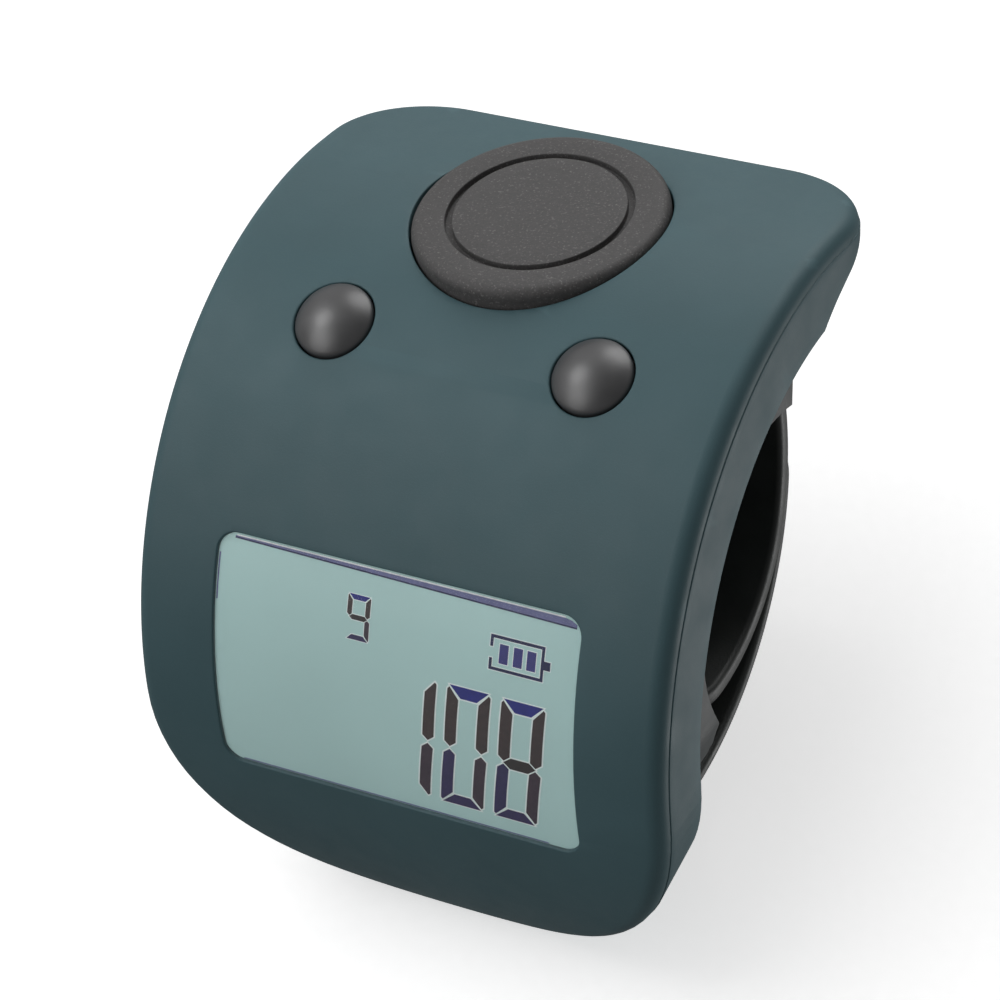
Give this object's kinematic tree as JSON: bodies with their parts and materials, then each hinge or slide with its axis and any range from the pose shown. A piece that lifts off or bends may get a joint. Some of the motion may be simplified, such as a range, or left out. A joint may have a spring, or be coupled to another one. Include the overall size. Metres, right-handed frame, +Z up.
{
  "type": "digital tally counter",
  "caption": "Finger tally counter: curved case with a display window, a large round count button, two small domed buttons and a soft strap that closes round the finger.",
  "frame": {"origin": "centre of the bounding box's base, on the surface that the counter lies on", "axes": "+Z up; +X across the case along the finger, to the viewer's right; +Y from the display end towards the tip over the count button"},
  "size_m": [0.034, 0.039, 0.0335],
  "materials": {
    "case_teal": "fine satin moulded plastic, dark blue-green",
    "case_dark": "fine matt moulded plastic, near black",
    "button_grey": "grainy matt charcoal",
    "button_gloss": "smooth satin gloss, dark grey",
    "strap_black": "soft satin elastomer, near black",
    "window_clear": "clear polished film",
    "display_grey": "reflective grey-green liquid crystal display",
    "light_guide": "milky acrylic",
    "board_green": "solder-masked glass-fibre board",
    "ribbon_amber": "amber flexible circuit film",
    "chip_black": "matt moulded package",
    "rubber_grey": "soft conductive elastomer",
    "switch_black": "moulded switch body",
    "steel": "plain bright steel",
    "spring_steel": "plated spring strip"
  },
  "bodies": {
    "case": {"front_cover": "case_teal", "rear_cover": "case_dark", "upper_left_screw": "steel", "upper_right_screw": "steel", "lower_left_screw": "steel", "lower_right_screw": "steel", "display_lens": "window_clear", "lcd_cell": "display_grey", "display_frame": "case_dark", "backlight_panel": "light_guide", "lcd_connector": "rubber_grey", "backlight_led": "light_guide", "main_board": "board_green", "controller_chip": "chip_black", "count_board": "board_green", "function_board": "board_green", "upper_ribbon": "ribbon_amber", "lower_ribbon": "ribbon_amber", "count_switch": "switch_black", "left_switch": "switch_black", "right_switch": "switch_black", "button_cell": "steel", "negative_contact": "spring_steel", "positive_contact": "spring_steel", "upper_strap_pin": "steel", "lower_strap_pin": "steel"},
    "count_button": {"count_button": "button_grey", "count_plunger": "button_grey"},
    "left_button": {"left_button": "button_gloss", "left_plunger": "button_grey"},
    "right_button": {"right_button": "button_gloss", "right_plunger": "button_grey"},
    "battery_door": {"battery_door": "case_dark"},
    "upper_strap": {"upper_strap": "strap_black"},
    "lower_strap": {"lower_strap": "strap_black"}
  },
  "joints": [
    {"name": "count_press", "type": "slide", "parent": "case", "child": "count_button", "axis": [0, -0.1828, -0.9832], "range_m": [0, 0.0006], "stiffness_N_per_m": 500},
    {"name": "left_press", "type": "slide", "parent": "case", "child": "left_button", "axis": [0, 0.2193, -0.9757], "range_m": [0, 0.0005], "stiffness_N_per_m": 300},
    {"name": "right_press", "type": "slide", "parent": "case", "child": "right_button", "axis": [0, 0.2193, -0.9757], "range_m": [0, 0.0005], "stiffness_N_per_m": 300},
    {"name": "door_removal", "type": "slide", "parent": "case", "child": "battery_door", "axis": [0, 0.3743, -0.9273], "range_m": [0, 0.007]},
    {"name": "upper_strap_flex", "type": "hinge", "parent": "case", "child": "upper_strap", "pos_m": [0, 0.01117, 0.02251], "axis": [-1, 0, 0], "range_deg": [0, 8], "stiffness_Nm_per_rad": 0.02},
    {"name": "lower_strap_flex", "type": "hinge", "parent": "case", "child": "lower_strap", "pos_m": [0, -0.01273, 0.00549], "axis": [-1, 0, 0], "range_deg": [0, 22], "stiffness_Nm_per_rad": 0.02}
  ]
}
